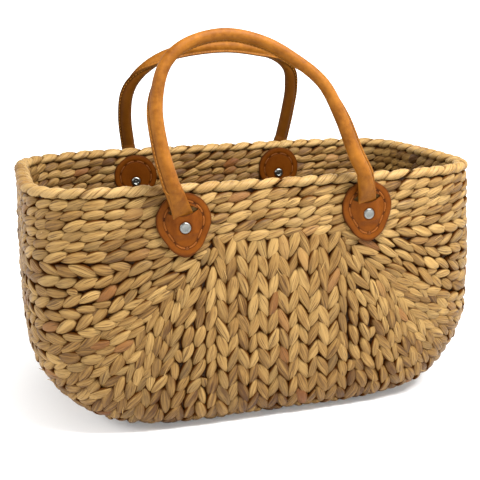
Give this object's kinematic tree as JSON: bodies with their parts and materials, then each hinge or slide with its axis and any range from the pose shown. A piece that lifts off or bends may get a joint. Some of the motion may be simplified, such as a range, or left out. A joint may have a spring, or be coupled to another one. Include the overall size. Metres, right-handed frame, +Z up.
{
  "type": "woven market basket",
  "caption": "Oval-cornered basket of twisted plant-fibre rows with a rope rim and two rolled-leather handles, each fixed by riveted leather patches.",
  "frame": {"origin": "centre of the underside, on the surface that the basket stands on", "axes": "+X to the right end along the longer side, +Y to the back, +Z up"},
  "size_m": [0.456, 0.3116, 0.3729],
  "materials": {
    "rim_weave": "dry twisted plant fibre, pale straw",
    "weave": "dry twisted plant fibre, straw tan with brown leaves",
    "patch_leather": "smooth orange-brown saddle leather",
    "handle_leather": "smooth caramel leather",
    "thread": "waxed orange-tan thread",
    "cord": "cotton cord filling",
    "rivet_metal": "nickel-plated, satin"
  },
  "bodies": {
    "basket": {"rim_rope": "rim_weave", "band_row_1": "weave", "band_row_2": "weave", "band_row_3": "weave", "band_row_4": "weave", "band_row_5": "weave", "left_end_upper": "weave", "left_end_corner": "weave", "left_base": "weave", "middle_left": "weave", "middle_centre": "weave", "middle_right": "weave", "right_base": "weave", "right_end_corner": "weave", "right_end_upper": "weave", "outer_patch_front_left": "patch_leather", "inner_patch_front_left": "patch_leather", "strap_end_front_left": "handle_leather", "stitching_front_left": "thread", "rivet_front_left": "rivet_metal", "rivet_ring_front_left": "rivet_metal", "outer_patch_front_right": "patch_leather", "inner_patch_front_right": "patch_leather", "strap_end_front_right": "handle_leather", "stitching_front_right": "thread", "rivet_front_right": "rivet_metal", "rivet_ring_front_right": "rivet_metal", "outer_patch_back_left": "patch_leather", "inner_patch_back_left": "patch_leather", "strap_end_back_left": "handle_leather", "stitching_back_left": "thread", "rivet_back_left": "rivet_metal", "rivet_ring_back_left": "rivet_metal", "outer_patch_back_right": "patch_leather", "inner_patch_back_right": "patch_leather", "strap_end_back_right": "handle_leather", "stitching_back_right": "thread", "rivet_back_right": "rivet_metal", "rivet_ring_back_right": "rivet_metal"},
    "front_handle": {"handle_roll_front": "handle_leather", "handle_core_front": "cord", "handle_thread_front": "thread"},
    "back_handle": {"handle_roll_back": "handle_leather", "handle_core_back": "cord", "handle_thread_back": "thread"}
  },
  "joints": [
    {"name": "front_handle_swing", "type": "hinge", "parent": "basket", "child": "front_handle", "pos_m": [0, -0.148, 0.24], "axis": [1, 0, 0], "range_deg": [-50, 130]},
    {"name": "back_handle_swing", "type": "hinge", "parent": "basket", "child": "back_handle", "pos_m": [0, 0.148, 0.24], "axis": [-1, 0, 0], "range_deg": [-50, 130]}
  ]
}
